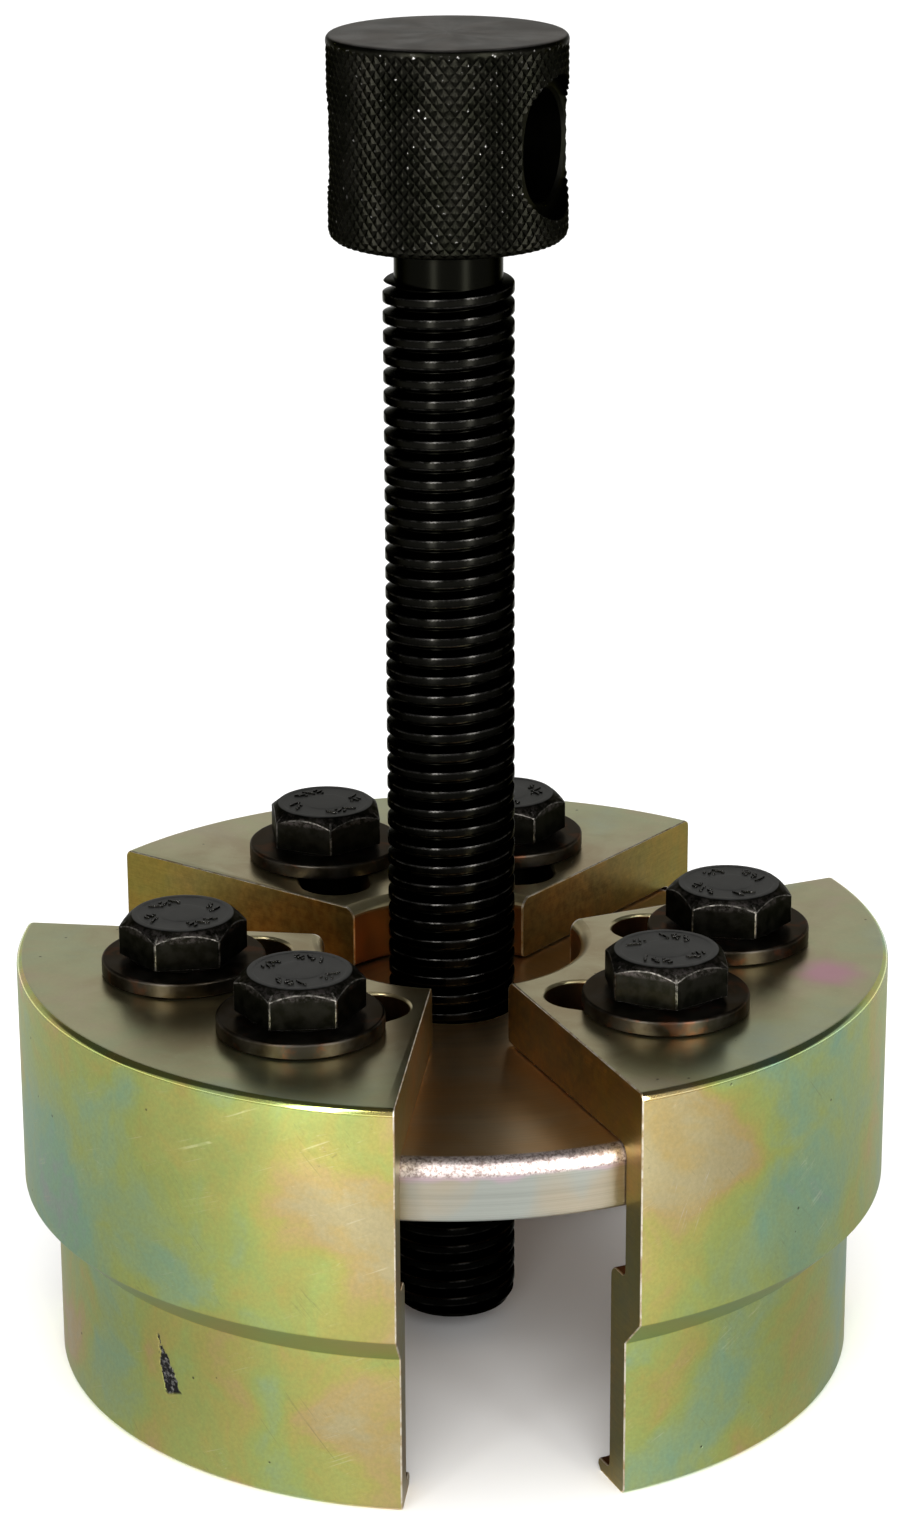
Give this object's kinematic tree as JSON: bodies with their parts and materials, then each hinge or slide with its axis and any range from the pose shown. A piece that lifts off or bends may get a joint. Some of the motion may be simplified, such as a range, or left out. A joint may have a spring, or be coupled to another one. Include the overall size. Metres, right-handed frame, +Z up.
{
  "type": "coil spring compressor",
  "caption": "Shell-type compressor and puller: slotted, lipped jaws bolted to a round bridge disc, with a central forcing screw that has a knurled, cross-drilled head.",
  "frame": {"origin": "on the forcing screw's axis, in the plane of the jaws' lower rims", "axes": "+Z up along the screw towards its knurled head; +X along the middle of jaw_1 and along the head's cross hole"},
  "size_m": [0.1327, 0.135, 0.2063],
  "materials": {
    "yellow_zinc": "yellow passivated zinc plate, iridescent",
    "disc_zinc": "yellow passivated zinc plate over a turned face",
    "black_oxide": "oiled black oxide",
    "bolt_oxide": "dull black oxide",
    "washer_oxide": "dull black oxide with brown patches",
    "bearing_steel": "ground steel"
  },
  "bodies": {
    "bridge": {"bridge_disc": "disc_zinc"},
    "jaw_1": {"jaw_1": "yellow_zinc"},
    "jaw_2": {"jaw_2": "yellow_zinc"},
    "jaw_3": {"jaw_3": "yellow_zinc"},
    "point": {"live_point": "black_oxide", "point_ring": "bearing_steel", "thrust_ball": "bearing_steel"},
    "screw": {"forcing_screw": "black_oxide"},
    "washer_1": {"washer_1": "washer_oxide"},
    "clamp_bolt_1": {"clamp_bolt_1": "bolt_oxide"},
    "washer_2": {"washer_2": "washer_oxide"},
    "clamp_bolt_2": {"clamp_bolt_2": "bolt_oxide"},
    "washer_3": {"washer_3": "washer_oxide"},
    "clamp_bolt_3": {"clamp_bolt_3": "bolt_oxide"},
    "washer_4": {"washer_4": "washer_oxide"},
    "clamp_bolt_4": {"clamp_bolt_4": "bolt_oxide"},
    "washer_5": {"washer_5": "washer_oxide"},
    "clamp_bolt_5": {"clamp_bolt_5": "bolt_oxide"},
    "washer_6": {"washer_6": "washer_oxide"},
    "clamp_bolt_6": {"clamp_bolt_6": "bolt_oxide"}
  },
  "joints": [
    {"name": "jaw_1_slide", "type": "slide", "parent": "bridge", "child": "jaw_1", "axis": [1, 0, 0], "range_m": [0, 0.0125]},
    {"name": "jaw_2_slide", "type": "slide", "parent": "bridge", "child": "jaw_2", "axis": [-0.5, 0.866, 0], "range_m": [0, 0.0125]},
    {"name": "jaw_3_slide", "type": "slide", "parent": "bridge", "child": "jaw_3", "axis": [-0.5, -0.866, 0], "range_m": [0, 0.0125]},
    {"name": "screw_feed", "type": "slide", "parent": "bridge", "child": "point", "axis": [0, 0, 1], "range_m": [-0.11193, 0.03933]},
    {"name": "screw_turn", "type": "hinge", "parent": "point", "child": "screw", "pos_m": [0, 0, 0], "axis": [0, 0, 1], "range_deg": [-13320, 4680]},
    {"name": "washer_1_lift", "type": "slide", "parent": "bridge", "child": "washer_1", "axis": [0, 0, 1], "range_m": [0, 0.003]},
    {"name": "clamp_bolt_1_turn", "type": "hinge", "parent": "washer_1", "child": "clamp_bolt_1", "pos_m": [0.0402, 0.015, 0.0664], "axis": [0, 0, 1], "range_deg": [0, 720.1]},
    {"name": "washer_2_lift", "type": "slide", "parent": "bridge", "child": "washer_2", "axis": [0, 0, 1], "range_m": [0, 0.003]},
    {"name": "clamp_bolt_2_turn", "type": "hinge", "parent": "washer_2", "child": "clamp_bolt_2", "pos_m": [0.0402, -0.015, 0.0664], "axis": [0, 0, 1], "range_deg": [0, 720.1]},
    {"name": "washer_3_lift", "type": "slide", "parent": "bridge", "child": "washer_3", "axis": [0, 0, 1], "range_m": [0, 0.003]},
    {"name": "clamp_bolt_3_turn", "type": "hinge", "parent": "washer_3", "child": "clamp_bolt_3", "pos_m": [-0.03309, 0.02731, 0.0664], "axis": [0, 0, 1], "range_deg": [0, 720.1]},
    {"name": "washer_4_lift", "type": "slide", "parent": "bridge", "child": "washer_4", "axis": [0, 0, 1], "range_m": [0, 0.003]},
    {"name": "clamp_bolt_4_turn", "type": "hinge", "parent": "washer_4", "child": "clamp_bolt_4", "pos_m": [-0.00711, 0.04231, 0.0664], "axis": [0, 0, 1], "range_deg": [0, 720.1]},
    {"name": "washer_5_lift", "type": "slide", "parent": "bridge", "child": "washer_5", "axis": [0, 0, 1], "range_m": [0, 0.003]},
    {"name": "clamp_bolt_5_turn", "type": "hinge", "parent": "washer_5", "child": "clamp_bolt_5", "pos_m": [-0.00711, -0.04231, 0.0664], "axis": [0, 0, 1], "range_deg": [0, 720.1]},
    {"name": "washer_6_lift", "type": "slide", "parent": "bridge", "child": "washer_6", "axis": [0, 0, 1], "range_m": [0, 0.003]},
    {"name": "clamp_bolt_6_turn", "type": "hinge", "parent": "washer_6", "child": "clamp_bolt_6", "pos_m": [-0.03309, -0.02731, 0.0664], "axis": [0, 0, 1], "range_deg": [0, 720.1]}
  ],
  "couplings": [
    {"joint": "screw_feed", "follows": "screw_turn", "m_per_rad": 0.00048144},
    {"joint": "clamp_bolt_1_turn", "follows": "washer_1_lift", "rad_per_m": 4188.8},
    {"joint": "clamp_bolt_2_turn", "follows": "washer_2_lift", "rad_per_m": 4188.8},
    {"joint": "clamp_bolt_3_turn", "follows": "washer_3_lift", "rad_per_m": 4188.8},
    {"joint": "clamp_bolt_4_turn", "follows": "washer_4_lift", "rad_per_m": 4188.8},
    {"joint": "clamp_bolt_5_turn", "follows": "washer_5_lift", "rad_per_m": 4188.8},
    {"joint": "clamp_bolt_6_turn", "follows": "washer_6_lift", "rad_per_m": 4188.8}
  ]
}
